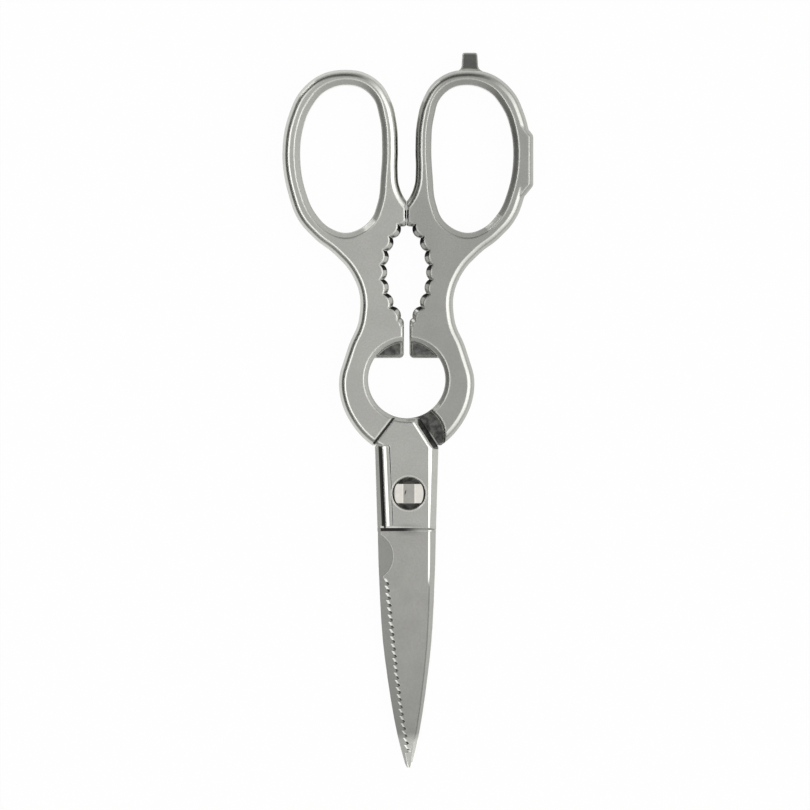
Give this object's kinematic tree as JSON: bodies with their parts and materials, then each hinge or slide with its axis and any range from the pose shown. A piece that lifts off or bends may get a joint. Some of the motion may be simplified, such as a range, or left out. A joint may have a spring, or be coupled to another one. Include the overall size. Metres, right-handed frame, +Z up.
{
  "type": "kitchen shears",
  "caption": "Forged take-apart kitchen shears with finger loops, scalloped nut jaws, cap lifter, lifter tab, bone notch and a serrated blade on a bayonet pivot stud.",
  "frame": {"origin": "on the pivot axis, at the flat back of the rear half's pivot plate, where the shears lie on a table", "axes": "+Y from the tips towards the finger loops, +Z up along the pivot axis from the rear half to the front half, +X to the right seen from the front"},
  "size_m": [0.0718, 0.205, 0.0088],
  "materials": {
    "forged_steel": "fine satin faces with polished bevels",
    "stud_steel": "mirror polished"
  },
  "bodies": {
    "rear": {"rear_half": "forged_steel", "pivot_stud": "stud_steel"},
    "front": {"front_half": "forged_steel"}
  },
  "joints": [
    {"name": "pivot", "type": "hinge", "parent": "rear", "child": "front", "pos_m": [0, 0, 0.0044], "axis": [0, 0, 1], "range_deg": [0, 90]}
  ]
}
